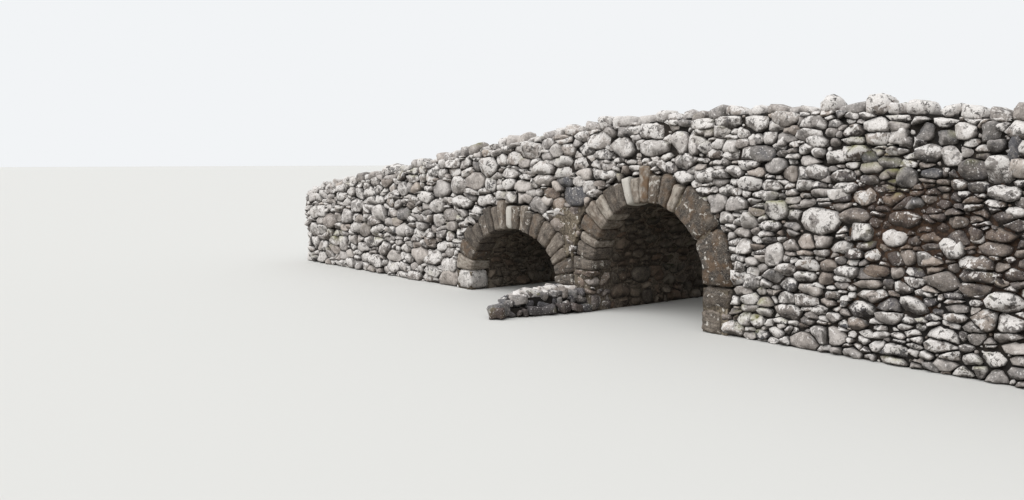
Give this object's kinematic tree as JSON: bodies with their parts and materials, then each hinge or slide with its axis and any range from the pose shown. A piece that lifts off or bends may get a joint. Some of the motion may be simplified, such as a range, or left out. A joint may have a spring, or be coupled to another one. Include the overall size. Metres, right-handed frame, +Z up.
{
  "type": "stone arch bridge",
  "caption": "Humpback road bridge of rubble stone: round arches that share a river pier with pointed cutwaters, parapets with rough coping stones, and a gravel road between them.",
  "frame": {"origin": "middle of the bridge's length and width at the level of the water, under the road's crest", "axes": "+X along the road to the right as seen from the front, +Y across the road from the front wall to the back wall, +Z up"},
  "size_m": [29.3, 8.46, 3.6441],
  "materials": {
    "rubble_stone": "rough",
    "ring_stone": "rough",
    "coping_stone": "rough",
    "fill": "rough",
    "gravel": "rough"
  },
  "bodies": {
    "root": {"left_abutment": "rubble_stone", "pier": "rubble_stone", "right_abutment": "rubble_stone", "left_vault": "ring_stone", "right_vault": "ring_stone", "front_left_ring": "ring_stone", "front_right_ring": "ring_stone", "back_left_ring": "ring_stone", "back_right_ring": "ring_stone", "front_left_jamb": "ring_stone", "front_right_jamb": "ring_stone", "back_left_jamb": "ring_stone", "back_right_jamb": "ring_stone", "front_spandrel": "rubble_stone", "back_spandrel": "rubble_stone", "front_left_wing": "rubble_stone", "front_right_wing": "rubble_stone", "back_left_wing": "rubble_stone", "back_right_wing": "rubble_stone", "front_left_parapet": "rubble_stone", "front_middle_parapet": "rubble_stone", "front_right_parapet": "rubble_stone", "back_left_parapet": "rubble_stone", "back_middle_parapet": "rubble_stone", "back_right_parapet": "rubble_stone", "front_left_coping": "coping_stone", "front_middle_coping": "coping_stone", "front_right_coping": "coping_stone", "back_left_coping": "coping_stone", "back_middle_coping": "coping_stone", "back_right_coping": "coping_stone", "front_cutwater": "rubble_stone", "back_cutwater": "rubble_stone", "left_fill": "fill", "middle_fill": "fill", "right_fill": "fill", "left_road": "gravel", "middle_road": "gravel", "right_road": "gravel", "left_end_wall": "rubble_stone", "right_end_wall": "rubble_stone"}
  },
  "joints": []
}
